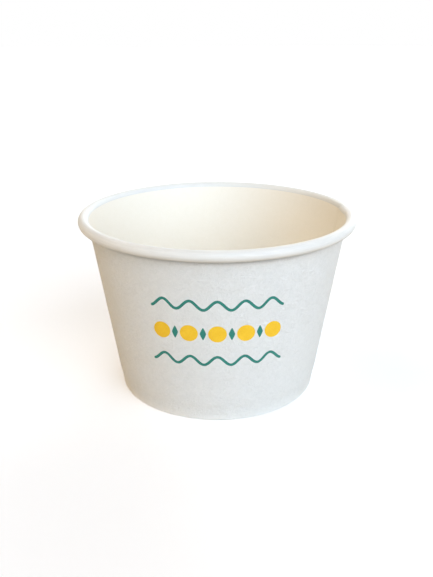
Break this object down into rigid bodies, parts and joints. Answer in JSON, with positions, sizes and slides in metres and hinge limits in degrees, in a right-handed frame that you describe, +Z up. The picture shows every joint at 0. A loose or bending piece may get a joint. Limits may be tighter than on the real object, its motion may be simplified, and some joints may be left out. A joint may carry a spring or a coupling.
{
  "type": "paper dessert cup",
  "caption": "Conical paper cup for ice cream or dessert, with a rolled rim, a glued side lap and a recessed base disc.",
  "frame": {"origin": "centre of the ring that the cup stands on, at table height", "axes": "+Z up along the cup's axis, -Y towards the printed front, +X towards the glued side lap"},
  "size_m": [0.096, 0.096, 0.063],
  "materials": {
    "wall_board": "matte outside, satin coating inside",
    "disc_board": "satin coating above, matte below"
  },
  "bodies": {
    "root": {"side_wall": "wall_board", "base_disc": "disc_board"}
  },
  "joints": []
}
